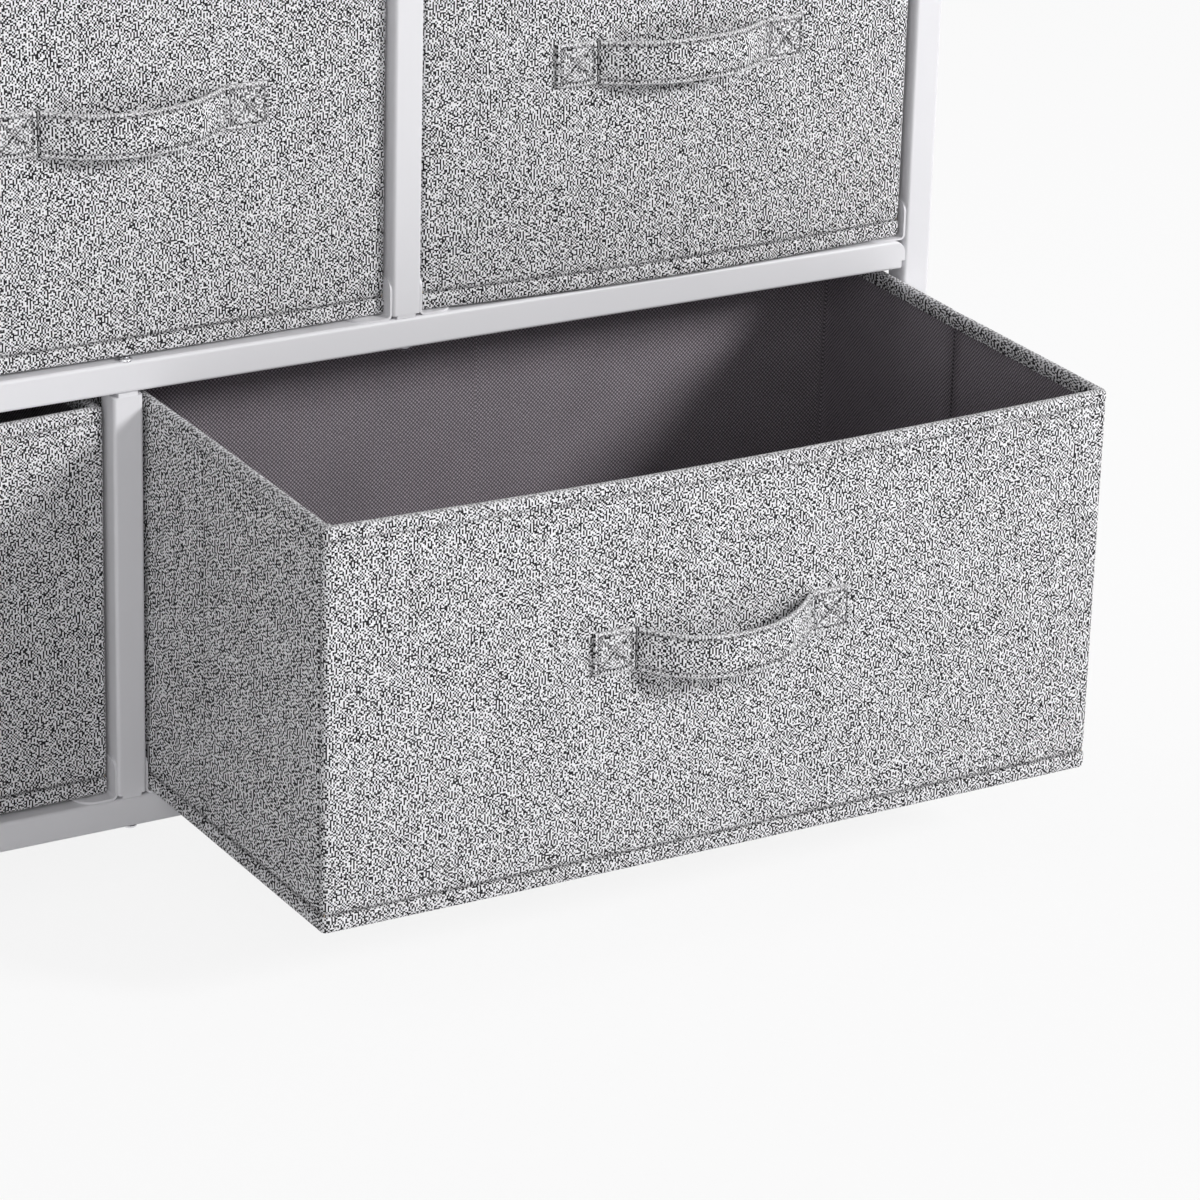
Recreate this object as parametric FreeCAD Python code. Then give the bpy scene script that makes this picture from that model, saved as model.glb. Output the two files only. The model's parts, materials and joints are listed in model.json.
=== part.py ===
import FreeCAD, Part
import os

# Fabric drawer dresser: a square-tube steel frame under a wooden top, with three narrow
# fabric drawers over two wide ones. Millimetres. +X is to the right, +Y to the rear, +Z up.
# The drawer fronts face -Y. The origin is at the middle of the bounding box's floor.

V = FreeCAD.Vector
X_AXIS = V(1, 0, 0)
Y_AXIS = V(0, 1, 0)
Z_AXIS = V(0, 0, 1)

# ---- Frame of square steel tube ----
frame_width = 1000.0         # over the two end posts
tube_size = 17.0             # side of the square tube
tube_wall = 1.2
tube_corner_radius = 2.0
leg_height = 28.0            # floor to the underside of the bottom rails

# ---- Ends of the rails ----
rail_end_block = 10.0        # solid block welded into the tube's end
rail_end_radius = 8.0        # rounded upper corner of the end
rail_notch_width = 2.0       # small step under the end
rail_notch_height = 5.0
spigot_radius = 3.0          # pin on the end block that plugs into the post
spigot_reach = 2.5           # how far the pin stands inside the post's wall
spigot_clearance = 0.1       # radial

# ---- Dividers and their end saddles ----
saddle_gap = 2.0             # tube end to rail, filled by the saddle's neck
saddle_neck_width = 11.0
saddle_neck_setback = 0.5    # neck behind the tube's front and rear faces
saddle_plug_length = 12.0    # part of the saddle inside the tube
saddle_plug_clearance = 0.1  # all round

# ---- Bolts between rails and dividers ----
bolt_radius = 2.0
bolt_head_radius = 3.8
bolt_head_clearance = 0.3    # between a head on a rail and the drawer that passes over it
bolt_head_edge = 0.4         # straight part of a head's side, under its rounding
bolt_socket_radius = 1.3
bolt_socket_depth = 0.8
bolt_inset = 4.0             # from the frame's front or rear face to the bolt's axis
bolt_grip = 9.0              # length held in the saddle
bolt_hole_clearance = 0.2    # radial, in the rail
bolt_thread_clearance = 0.05  # radial, in the saddle

# ---- Wooden top and its screws ----
top_thickness = 16.0
top_overhang = 4.0           # past the frame on every side
top_edge_radius = 2.0
screw_radius = 2.0
screw_head_radius = 4.0
screw_head_height = 2.2
screw_head_rounding = 1.2
screw_grip = 11.0            # length in the wood
screw_hole_clearance = 0.2   # radial, in the rail
screw_thread_clearance = 0.05  # radial, in the wood

# ---- Plastic foot caps ----
foot_flange_height = 5.0
foot_plug_length = 14.0
foot_plug_clearance = 0.1    # all round

# ---- Sheet runners that carry the drawers ----
runner_sheet = 1.2
runner_flange_height = 22.0
runner_shelf_width = 22.0
runner_bend_radius = 3.0     # outside of the bend
runner_upper_radius = 6.0    # upper corners of the upright flange
runner_shelf_radius = 11.0   # free corners of the shelf
runner_inset = 1.0           # from the frame's front and rear faces

# ---- Fabric drawers ----
drawer_height = 220.0
drawer_depth = 278.0
drawer_side_play = 0.9       # between a drawer and the runner's upright flange
drawer_lift = 0.4            # between a drawer and the runner's shelf
drawer_headroom = 8.4        # between a drawer's rim and the rail above it
drawer_recess = 8.0          # drawer front behind the frame's front face when pushed in
drawer_rear_space = 14.0     # between a pushed-in drawer and the frame's rear face
cover_sheet = 1.2
board_sheet = 2.5
lining_sheet = 0.8
hem_turn = 7.0               # cover turned over the rim and down inside
base_board_sheet = 3.0
base_board_play = 0.6        # around the loose base board
side_fold_gap = 2.0          # between the two halves of a side board

# ---- Strap handles ----
handle_length = 156.0
handle_patch = 25.0          # stitched end of the strap
handle_height = 24.0
handle_sheet = 2.4
handle_bow = 18.0            # finger space behind the middle of the strap
handle_rise = 15.0           # strap's middle above the middle of the drawer's front

# How far each drawer stands forward of its pushed-in place.
pulled_out = {
    "upper_left": 0.0,
    "upper_middle": 0.0,
    "upper_right": 4.0,
    "lower_left": 0.0,
    "lower_right": 210.0,
}
upper_places = ("left", "middle", "right")
lower_places = ("left", "right")

# ---- Sizes, levels and places worked out from the sizes above ----
opening_height = runner_sheet + drawer_lift + drawer_height + drawer_headroom
frame_depth = drawer_recess + drawer_depth + drawer_rear_space

lower_row_z = leg_height + tube_size
middle_rail_z = lower_row_z + opening_height
upper_row_z = middle_rail_z + tube_size
top_rail_z = upper_row_z + opening_height
frame_top_z = top_rail_z + tube_size
rail_levels = {"bottom": leg_height, "middle": middle_rail_z, "top": top_rail_z}

half_tube = tube_size / 2
post_x = frame_width / 2 - half_tube
tube_lines = {"front": half_tube, "rear": frame_depth - half_tube}
bolt_lines = {"front": bolt_inset, "rear": frame_depth - bolt_inset}

bore_size = tube_size - 2 * tube_wall
bore_corner_radius = tube_corner_radius - tube_wall
rim_width = cover_sheet + board_sheet + lining_sheet + cover_sheet
bolt_head_height = runner_sheet + drawer_lift - bolt_head_clearance
bolt_head_rounding = bolt_head_height - bolt_head_edge

most_forward = drawer_recess - max(pulled_out.values()) - handle_bow - handle_sheet
least_forward = frame_depth + top_overhang
shift_to_origin = V(0, -(most_forward + least_forward) / 2, 0)


def bay_width(places):
    """Clear width of one bay in a row with these places."""
    return (frame_width - (len(places) + 1) * tube_size) / len(places)


def bay_centre(places, index):
    pitch = bay_width(places) + tube_size
    return (index - (len(places) - 1) / 2) * pitch


def divider_centres(places):
    """X of each tube that stands between two bays."""
    pitch = bay_width(places) + tube_size
    return [bay_centre(places, index) + pitch / 2 for index in range(len(places) - 1)]


def box(size, corner):
    return Part.makeBox(size[0], size[1], size[2], V(*corner))


def edges_along(shape, axis, where=lambda point: True):
    """Straight edges of a shape that run along an axis and whose middle passes a test."""
    found = []
    for edge in shape.Edges:
        direction = edge.tangentAt(edge.FirstParameter)
        if abs(direction.dot(axis)) > 0.99 and where(edge.CenterOfMass):
            found.append(edge)
    return found


def upright_bar(side, corner_radius, length):
    """Square bar from the origin up, with rounded long edges."""
    bar = box((side, side, length), (-side / 2, -side / 2, 0))
    return bar.makeFillet(corner_radius, edges_along(bar, Z_AXIS))


def upright_tube(length):
    tube = upright_bar(tube_size, tube_corner_radius, length)
    return tube.cut(upright_bar(bore_size, bore_corner_radius, length))


def lying_bar(side, corner_radius, length):
    """The same bar along X, centred on the origin."""
    bar = upright_bar(side, corner_radius, length)
    bar.rotate(V(0, 0, 0), Y_AXIS, 90)
    bar.translate(V(-length / 2, 0, 0))
    return bar


def rail(length):
    """Tube along X with closed ends: rounded above, notched below, with a plug-in pin."""
    body = lying_bar(tube_size, tube_corner_radius, length)
    body = body.cut(lying_bar(bore_size, bore_corner_radius, length - 2 * rail_end_block))
    outline = box((length, tube_size, tube_size), (-length / 2, -half_tube, -half_tube))
    upper_ends = edges_along(outline, Y_AXIS, lambda point: point.z > 0)
    body = body.common(outline.makeFillet(rail_end_radius, upper_ends))
    for side in (-1, 1):
        notch = box((rail_notch_width, tube_size, rail_notch_height),
                    (-rail_notch_width / 2, -half_tube, -half_tube))
        notch.translate(V(side * (length - rail_notch_width) / 2, 0, 0))
        body = body.cut(notch)
    pin_length = length + 2 * (tube_wall + spigot_reach)
    for side in (-1, 1):
        start = V(side * (length / 2 - rail_end_block / 2), 0, 0)
        reach = pin_length / 2 - abs(start.x)
        body = body.fuse(Part.makeCylinder(spigot_radius, reach, start, V(side, 0, 0)))
    return body.removeSplitter()


def drill(shape, x, y, z_low, z_high, radius):
    return shape.cut(Part.makeCylinder(radius, z_high - z_low, V(x, y, z_low)))


def long_rails():
    """Front and rear rails at the three levels, with the holes for bolts and screws."""
    nodes = {}
    hole_radius = bolt_radius + bolt_hole_clearance
    for side, y in tube_lines.items():
        for level, z in rail_levels.items():
            solid = rail(frame_width - 2 * tube_size)
            solid.translate(V(0, y, z + half_tube))
            bolt_centres = []
            if level != "top":
                bolt_centres += divider_centres(lower_places)
            if level == "middle":
                bolt_centres += divider_centres(upper_places)
            for x in bolt_centres:
                solid = drill(solid, x, bolt_lines[side], z, z + tube_size, hole_radius)
            if level == "top":
                for x in screw_centres():
                    solid = drill(solid, x, y, z, z + tube_size,
                                  screw_radius + screw_hole_clearance)
            nodes[side + "_" + level + "_rail"] = solid
    return nodes


def side_rails():
    """Rails between the front and rear posts at the three levels."""
    nodes = {}
    for side, x in (("left", -post_x), ("right", post_x)):
        for level, z in rail_levels.items():
            solid = rail(frame_depth - 2 * tube_size)
            solid.rotate(V(0, 0, 0), Z_AXIS, 90)
            solid.translate(V(x, frame_depth / 2, z + half_tube))
            nodes[side + "_" + level + "_side_rail"] = solid
    return nodes


def posts():
    """Corner posts, each with sockets for a long rail and a side rail at every level."""
    nodes = {}
    socket_radius = spigot_radius + spigot_clearance
    for end, y in tube_lines.items():
        for side, x in (("left", -post_x), ("right", post_x)):
            solid = upright_tube(frame_top_z - foot_flange_height)
            solid.translate(V(x, y, foot_flange_height))
            inward_x = V(1 if side == "left" else -1, 0, 0)
            inward_y = V(0, 1 if end == "front" else -1, 0)
            for z in rail_levels.values():
                axis_point = V(x, y, z + half_tube)
                for inward in (inward_x, inward_y):
                    socket = Part.makeCylinder(socket_radius, half_tube, axis_point, inward)
                    solid = solid.cut(socket)
            nodes[end + "_" + side + "_post"] = solid
    return nodes


def dividers():
    """Tubes between the bays, front and rear. Saddles fill the gap at both ends."""
    nodes = {}
    length = opening_height - 2 * saddle_gap
    rows = (("upper", upper_places, upper_row_z), ("lower", lower_places, lower_row_z))
    for row, places, z in rows:
        centres = divider_centres(places)
        for end, y in tube_lines.items():
            for index, x in enumerate(centres):
                solid = upright_tube(length)
                solid.translate(V(x, y, z + saddle_gap))
                number = "_" + str(index + 1) if len(centres) > 1 else ""
                nodes[row + "_" + end + "_divider" + number] = solid
    return nodes


def saddle(x, end, z_rail, up):
    """Neck against the rail at z_rail and plug in the divider, with its bolt's thread."""
    y = tube_lines[end]
    plug_side = bore_size - 2 * saddle_plug_clearance
    neck_depth = tube_size - 2 * saddle_neck_setback
    neck = box((saddle_neck_width, neck_depth, saddle_gap),
               (-saddle_neck_width / 2, -neck_depth / 2, 0))
    plug = upright_bar(plug_side, bore_corner_radius, saddle_plug_length)
    plug.translate(V(0, 0, saddle_gap))
    solid = neck.fuse(plug)
    thread = Part.makeCylinder(bolt_radius + bolt_thread_clearance,
                               saddle_gap + saddle_plug_length, V(0, bolt_lines[end] - y, 0))
    solid = solid.cut(thread)
    if not up:
        solid = solid.mirror(V(0, 0, 0), Z_AXIS)
    solid.translate(V(x, y, z_rail))
    return solid


def divider_saddles():
    solids = []
    rows = ((upper_places, upper_row_z), (lower_places, lower_row_z))
    for places, z in rows:
        for x in divider_centres(places):
            for end in tube_lines:
                solids.append(saddle(x, end, z, True))
                solids.append(saddle(x, end, z + opening_height, False))
    return Part.makeCompound(solids)


def button_bolt():
    """Bolt along +Z from its seat at the origin, with its domed head below the seat."""
    head = Part.makeCylinder(bolt_head_radius, bolt_head_height, V(0, 0, -bolt_head_height))
    rim = [edge for edge in head.Edges
           if edge.Curve.TypeId == "Part::GeomCircle" and edge.CenterOfMass.z < -bolt_head_height / 2]
    head = head.makeFillet(bolt_head_rounding, rim)
    corner = V(bolt_socket_radius, 0, -bolt_head_height)
    corners = [FreeCAD.Rotation(Z_AXIS, 60 * turn).multVec(corner) for turn in range(7)]
    socket = Part.Face(Part.makePolygon(corners)).extrude(V(0, 0, bolt_socket_depth))
    shank = Part.makeCylinder(bolt_radius, tube_size + saddle_gap + bolt_grip)
    return head.cut(socket).fuse(shank).removeSplitter()


def bolt_seats():
    """Where each bolt's head sits, and whether the bolt points up from there."""
    seats = []
    for x in divider_centres(lower_places):
        seats.append((x, middle_rail_z + tube_size, False))
        seats.append((x, leg_height, True))
    for x in divider_centres(upper_places):
        seats.append((x, middle_rail_z, True))
    return seats


def frame_bolts():
    solids = []
    for x, z, up in bolt_seats():
        for y in bolt_lines.values():
            solid = button_bolt()
            if not up:
                solid.rotate(V(0, 0, 0), X_AXIS, 180)
            solid.translate(V(x, y, z))
            solids.append(solid)
    return Part.makeCompound(solids)


def screw_centres():
    return [bay_centre(upper_places, index) for index in range(len(upper_places))]


def top_board():
    size = (frame_width + 2 * top_overhang, frame_depth + 2 * top_overhang, top_thickness)
    board = box(size, (-size[0] / 2, -top_overhang, frame_top_z))
    upper_edges = []
    for axis in (X_AXIS, Y_AXIS):
        upper_edges += edges_along(board, axis, lambda point: point.z > frame_top_z + top_thickness / 2)
    board = board.makeFillet(top_edge_radius, upper_edges)
    for y in tube_lines.values():
        for x in screw_centres():
            board = drill(board, x, y, frame_top_z, frame_top_z + screw_grip,
                          screw_radius + screw_thread_clearance)
    return board


def top_screws():
    """Screws from under the top rails into the board."""
    solids = []
    for y in tube_lines.values():
        for x in screw_centres():
            head = Part.makeCylinder(screw_head_radius, screw_head_height,
                                     V(0, 0, -screw_head_height))
            rim = [edge for edge in head.Edges if edge.Curve.TypeId == "Part::GeomCircle"
                   and edge.CenterOfMass.z < -screw_head_height / 2]
            head = head.makeFillet(screw_head_rounding, rim)
            shank = Part.makeCylinder(screw_radius, tube_size + screw_grip)
            screw = head.fuse(shank).removeSplitter()
            screw.translate(V(x, y, top_rail_z))
            solids.append(screw)
    return Part.makeCompound(solids)


def foot_caps():
    solids = []
    for y in tube_lines.values():
        for x in (-post_x, post_x):
            flange = upright_bar(tube_size, tube_corner_radius, foot_flange_height)
            plug = upright_bar(bore_size - 2 * foot_plug_clearance, bore_corner_radius,
                               foot_plug_length)
            plug.translate(V(0, 0, foot_flange_height))
            cap = flange.fuse(plug).removeSplitter()
            cap.translate(V(x, y, 0))
            solids.append(cap)
    return Part.makeCompound(solids)


def runner(x_wall, z, side):
    """Bent sheet against the wall at x_wall, with its shelf towards side on the rails at z."""
    length = frame_depth - 2 * runner_inset
    diagonal = V(-1, 0, -1).normalize()
    bend_centre = V(runner_bend_radius, 0, runner_bend_radius)
    outer_middle = bend_centre + diagonal * runner_bend_radius
    inner_middle = bend_centre + diagonal * (runner_bend_radius - runner_sheet)
    points = [
        V(0, 0, runner_flange_height), V(0, 0, runner_bend_radius),
        V(runner_bend_radius, 0, 0), V(runner_shelf_width, 0, 0),
        V(runner_shelf_width, 0, runner_sheet), V(runner_bend_radius, 0, runner_sheet),
        V(runner_sheet, 0, runner_bend_radius), V(runner_sheet, 0, runner_flange_height),
    ]
    edges = [
        Part.LineSegment(points[0], points[1]).toShape(),
        Part.Arc(points[1], outer_middle, points[2]).toShape(),
        Part.LineSegment(points[2], points[3]).toShape(),
        Part.LineSegment(points[3], points[4]).toShape(),
        Part.LineSegment(points[4], points[5]).toShape(),
        Part.Arc(points[5], inner_middle, points[6]).toShape(),
        Part.LineSegment(points[6], points[7]).toShape(),
        Part.LineSegment(points[7], points[0]).toShape(),
    ]
    sheet = Part.Face(Part.Wire(edges)).extrude(V(0, length, 0))
    blank = box((runner_shelf_width, length, runner_flange_height), (0, 0, 0))
    upper = edges_along(blank, X_AXIS, lambda point: point.z > runner_flange_height / 2)
    free = edges_along(blank, Z_AXIS, lambda point: point.x > runner_shelf_width / 2)
    sheet = sheet.common(blank.makeFillet(runner_upper_radius, upper))
    sheet = sheet.common(blank.makeFillet(runner_shelf_radius, free))
    if side < 0:
        sheet = sheet.mirror(V(0, 0, 0), X_AXIS)
    sheet.translate(V(x_wall, runner_inset, z))
    return sheet


def runner_pair(places, index, z):
    """The two runners of one bay."""
    half_bay = bay_width(places) / 2
    centre = bay_centre(places, index)
    return Part.makeCompound([runner(centre - half_bay, z, 1), runner(centre + half_bay, z, -1)])


def inset_box(width, inset, z_low, z_high):
    """Box centred on x = 0 whose sides lie an inset inside the drawer's outer faces."""
    size = (width - 2 * inset, drawer_depth - 2 * inset, z_high - z_low)
    return box(size, (-size[0] / 2, inset, z_low))


def drawer_cover(width):
    """Outer fabric: floor, four walls, and a hem turned over the rim and down inside."""
    rim_z = drawer_height - cover_sheet
    hem_inset = rim_width - cover_sheet
    cover = inset_box(width, 0, 0, drawer_height)
    cover = cover.cut(inset_box(width, cover_sheet, cover_sheet, rim_z))
    cover = cover.cut(inset_box(width, rim_width, rim_z, drawer_height))
    hem = inset_box(width, hem_inset, rim_z - hem_turn, rim_z)
    hem = hem.cut(inset_box(width, rim_width, rim_z - hem_turn, rim_z))
    return cover.fuse(hem).removeSplitter()


def wall_boards(width):
    """Stiffening boards in the walls. Each side board is in two halves, so it can fold."""
    rim_z = drawer_height - cover_sheet
    height = rim_z - cover_sheet
    across = width - 2 * cover_sheet
    half_side = (drawer_depth - 2 * (cover_sheet + board_sheet) - side_fold_gap) / 2
    solids = []
    for y in (cover_sheet, drawer_depth - cover_sheet - board_sheet):
        solids.append(box((across, board_sheet, height), (-across / 2, y, cover_sheet)))
    for x in (-across / 2, across / 2 - board_sheet):
        for y in (cover_sheet + board_sheet, (drawer_depth + side_fold_gap) / 2):
            solids.append(box((board_sheet, half_side, height), (x, y, cover_sheet)))
    return Part.makeCompound(solids)


def drawer_lining(width):
    outside = cover_sheet + board_sheet
    rim_z = drawer_height - cover_sheet
    lining = inset_box(width, outside, cover_sheet, rim_z)
    floor_top = cover_sheet + lining_sheet
    return lining.cut(inset_box(width, outside + lining_sheet, floor_top, rim_z))


def base_board(width):
    """Loose board on the lining's floor."""
    inset = cover_sheet + board_sheet + lining_sheet + base_board_play
    low = cover_sheet + lining_sheet
    return inset_box(width, inset, low, low + base_board_sheet)


def strap_handle():
    """Flat end patches on the drawer's front and a bowed strap between them."""
    end = handle_length / 2
    inner = end - handle_patch
    inner_radius = (inner ** 2 + handle_bow ** 2) / (2 * handle_bow)
    centre_y = inner_radius - handle_bow
    outer_radius = inner_radius + handle_sheet
    outer = (outer_radius ** 2 - (centre_y + handle_sheet) ** 2) ** 0.5
    points = [
        V(-end, 0, 0), V(-inner, 0, 0), V(inner, 0, 0), V(end, 0, 0),
        V(end, -handle_sheet, 0), V(outer, -handle_sheet, 0),
        V(-outer, -handle_sheet, 0), V(-end, -handle_sheet, 0),
    ]
    edges = [
        Part.LineSegment(points[0], points[1]).toShape(),
        Part.Arc(points[1], V(0, -handle_bow, 0), points[2]).toShape(),
        Part.LineSegment(points[2], points[3]).toShape(),
        Part.LineSegment(points[3], points[4]).toShape(),
        Part.LineSegment(points[4], points[5]).toShape(),
        Part.Arc(points[5], V(0, -handle_bow - handle_sheet, 0), points[6]).toShape(),
        Part.LineSegment(points[6], points[7]).toShape(),
        Part.LineSegment(points[7], points[0]).toShape(),
    ]
    strap = Part.Face(Part.Wire(edges)).extrude(V(0, 0, handle_height))
    strap.translate(V(0, 0, (drawer_height - handle_height) / 2 + handle_rise))
    return strap


def drawer(name, places, index, row_z):
    """The pieces of one drawer, at its place in the frame."""
    width = bay_width(places) - 2 * (runner_sheet + drawer_side_play)
    place = V(bay_centre(places, index), drawer_recess - pulled_out[name],
              row_z + runner_sheet + drawer_lift)
    pieces = {
        "cover": drawer_cover(width),
        "wall_boards": wall_boards(width),
        "lining": drawer_lining(width),
        "base_board": base_board(width),
        "handle": strap_handle(),
    }
    for solid in pieces.values():
        solid.translate(place)
    return {name + "_" + piece: solid for piece, solid in pieces.items()}


def dresser():
    nodes = {"top_board": top_board(), "top_screws": top_screws()}
    nodes.update(posts())
    nodes.update(long_rails())
    nodes.update(side_rails())
    nodes.update(dividers())
    nodes["divider_saddles"] = divider_saddles()
    nodes["frame_bolts"] = frame_bolts()
    nodes["foot_caps"] = foot_caps()
    rows = (("upper", upper_places, upper_row_z), ("lower", lower_places, lower_row_z))
    for row, places, row_z in rows:
        for index, place in enumerate(places):
            name = row + "_" + place
            nodes[name + "_runners"] = runner_pair(places, index, row_z)
            nodes.update(drawer(name, places, index, row_z))
    return nodes


os.makedirs("parts", exist_ok=True)
for node_name, node_shape in dresser().items():
    node_shape.translate(shift_to_origin)
    node_shape.exportStep("parts/" + node_name + ".step")
    solids = node_shape.Solids
    volume = sum(solid.Volume for solid in solids)
    print(node_name, len(solids), "solids,", round(volume / 1000, 1), "cm3, valid", node_shape.isValid())
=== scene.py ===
import json
import math

import bmesh
import bpy
from mathutils import Matrix, Vector, noise


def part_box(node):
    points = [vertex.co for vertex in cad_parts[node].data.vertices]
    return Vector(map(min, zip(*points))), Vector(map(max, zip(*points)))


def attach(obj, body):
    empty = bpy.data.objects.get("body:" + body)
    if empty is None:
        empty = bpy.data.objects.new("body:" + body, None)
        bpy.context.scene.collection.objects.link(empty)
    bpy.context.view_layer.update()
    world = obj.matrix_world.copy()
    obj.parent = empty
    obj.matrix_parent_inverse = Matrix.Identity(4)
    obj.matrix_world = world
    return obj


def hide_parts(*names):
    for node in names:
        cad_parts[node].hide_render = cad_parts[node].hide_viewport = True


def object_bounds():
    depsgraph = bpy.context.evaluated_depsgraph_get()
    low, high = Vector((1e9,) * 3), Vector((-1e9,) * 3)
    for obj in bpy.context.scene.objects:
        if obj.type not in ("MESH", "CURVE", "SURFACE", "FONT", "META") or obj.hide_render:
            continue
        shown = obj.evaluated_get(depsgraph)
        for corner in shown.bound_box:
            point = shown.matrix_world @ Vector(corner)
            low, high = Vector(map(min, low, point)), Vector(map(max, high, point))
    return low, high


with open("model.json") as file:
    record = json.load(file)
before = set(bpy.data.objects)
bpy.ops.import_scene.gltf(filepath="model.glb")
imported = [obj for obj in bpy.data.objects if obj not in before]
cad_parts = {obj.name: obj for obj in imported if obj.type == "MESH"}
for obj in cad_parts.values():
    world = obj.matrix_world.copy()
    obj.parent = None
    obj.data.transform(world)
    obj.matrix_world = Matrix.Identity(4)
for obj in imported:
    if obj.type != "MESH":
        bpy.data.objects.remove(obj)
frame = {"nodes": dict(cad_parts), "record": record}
cadLow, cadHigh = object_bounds()
nodes = frame["nodes"]
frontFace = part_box("front_middle_rail")[0]      # front face and underside of the middle rail
print("frame loaded,", len(nodes), "nodes")

# shorthands for shader nodes


def feed(tree, socket, value):
    # a socket takes a link from another node or a plain value
    if isinstance(value, bpy.types.NodeSocket):
        tree.links.new(value, socket)
    else:
        socket.default_value = value


def calculate(tree, operation, first, second=0.0):
    node = tree.nodes.new("ShaderNodeMath")
    node.operation = operation
    for socket, value in zip(node.inputs, (first, second)):
        feed(tree, socket, value)
    return node.outputs[0]


def vectorMath(tree, operation, first, second=(0, 0, 0), third=(0, 0, 0)):
    node = tree.nodes.new("ShaderNodeVectorMath")
    node.operation = operation
    for socket, value in zip(node.inputs, (first, second, third)):
        feed(tree, socket, value)
    return node.outputs[0]


def remap(tree, value, fromRange, toRange, smooth=False):
    node = tree.nodes.new("ShaderNodeMapRange")
    node.interpolation_type = "SMOOTHSTEP" if smooth else "LINEAR"
    for label, number in zip(("From Min", "From Max", "To Min", "To Max"), (*fromRange, *toRange)):
        node.inputs[label].default_value = number
    tree.links.new(value, node.inputs["Value"])
    return node.outputs["Result"]


def mixValues(tree, share, first, second):
    node = tree.nodes.new("ShaderNodeMix")
    for socket, value in zip(node.inputs[:1] + node.inputs[2:4], (share, first, second)):
        feed(tree, socket, value)
    return node.outputs[0]


def mixColours(tree, share, first, second):
    node = tree.nodes.new("ShaderNodeMix")
    node.data_type = "RGBA"
    for socket, value in zip(node.inputs[:1] + node.inputs[6:8], (share, first, second)):
        feed(tree, socket, value)
    return node.outputs[2]


def mixShaders(tree, share, first, second, output):
    node = tree.nodes.new("ShaderNodeMixShader")
    for socket, value in zip(node.inputs, (share, first.outputs[0], second.outputs[0])):
        tree.links.new(value, socket)
    tree.links.new(node.outputs[0], output.inputs["Surface"])


def noiseAt(tree, vector, scale, detail=2.0, roughness=0.5):
    node = tree.nodes.new("ShaderNodeTexNoise")
    for label, value in (("Vector", vector), ("Scale", scale), ("Detail", detail),
                         ("Roughness", roughness)):
        feed(tree, node.inputs[label], value)
    return node.outputs["Fac"]


# camera

cameraPlace = {
    "sideways": -1.0504,        # metres to the right of the dresser's middle
    "forward": 2.2501,          # in front of the frame's front face
    "rise": 0.8724,             # above the underside of the middle rail
    "turn": 30.756,             # degrees to the right
    "tilt": -21.656,
    "roll": 1.542,
    "lens": 150.99,             # millimetres, on a sensor this wide
    "sensor": 36.0,
    "nearest": 0.05,            # nothing nearer than this is drawn
}


def makeCamera():
    data = bpy.data.cameras.new("camera")
    data.lens = cameraPlace["lens"]
    data.sensor_width = cameraPlace["sensor"]
    data.clip_start = cameraPlace["nearest"]
    camera = bpy.data.objects.new("camera", data)
    camera.location = (cameraPlace["sideways"], frontFace.y - cameraPlace["forward"],
                       frontFace.z + cameraPlace["rise"])
    turn = Matrix.Rotation(math.radians(-cameraPlace["turn"]), 3, "Z")
    tilt = Matrix.Rotation(math.radians(90 + cameraPlace["tilt"]), 3, "X")
    roll = Matrix.Rotation(math.radians(cameraPlace["roll"]), 3, "Z")
    camera.rotation_euler = (turn @ tilt @ roll).to_euler()
    bpy.context.scene.collection.objects.link(camera)
    bpy.context.scene.camera = camera


makeCamera()
print("camera placed")

# light, floor and background

studio = {
    "worldLight": 0.25,
    "worldWhite": 0.975,        # as the camera and reflections see it
    "floorSize": 14.0,
    "floorColour": (0.93, 0.93, 0.94, 1),
    "floorGlow": 0.87,          # share of the floor that the camera sees as plain white
    "lamps": {                  # place, size in metres and watts; each aims at the dresser's middle
        "key": ((3.18, -3.42, 2.36), 1.15, 169.0),
        "fill": ((-1.5, -2.6, 1.37), 1.8, 19.0),
        "back": ((-1.1, 3.0, 2.2), 2.4, 60.0),
    },
}


def whiteRays(tree):
    # 1 for what the camera sees straight on, in a reflection or through glass
    path = tree.nodes.new("ShaderNodeLightPath")
    seen = path.outputs["Is Camera Ray"]
    for label in ("Is Glossy Ray", "Is Transmission Ray"):
        seen = calculate(tree, "MAXIMUM", seen, path.outputs[label])
    return seen


def makeWorld():
    world = bpy.data.worlds.new("studio")
    world.use_nodes = True
    tree = world.node_tree
    tree.nodes.clear()
    output = tree.nodes.new("ShaderNodeOutputWorld")
    shades = []
    for strength in (studio["worldLight"], studio["worldWhite"]):
        shade = tree.nodes.new("ShaderNodeBackground")
        shade.inputs["Color"].default_value = (1, 1, 1, 1)
        shade.inputs["Strength"].default_value = strength
        shades.append(shade)
    mixShaders(tree, whiteRays(tree), *shades, output)
    bpy.context.scene.world = world


def makeFloor():
    bm = bmesh.new()
    bmesh.ops.create_grid(bm, x_segments=2, y_segments=2, size=studio["floorSize"] / 2)
    mesh = bpy.data.meshes.new("floor")
    bm.to_mesh(mesh)
    bm.free()
    floor = bpy.data.objects.new("floor", mesh)
    bpy.context.scene.collection.objects.link(floor)
    material = bpy.data.materials.new("floor")
    material.use_nodes = True
    tree = material.node_tree
    tree.nodes.clear()
    output = tree.nodes.new("ShaderNodeOutputMaterial")
    diffuse = tree.nodes.new("ShaderNodeBsdfDiffuse")
    diffuse.inputs["Color"].default_value = studio["floorColour"]
    glow = tree.nodes.new("ShaderNodeEmission")
    share = calculate(tree, "MULTIPLY", whiteRays(tree), studio["floorGlow"])
    mixShaders(tree, share, diffuse, glow, output)
    mesh.materials.append(material)


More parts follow.
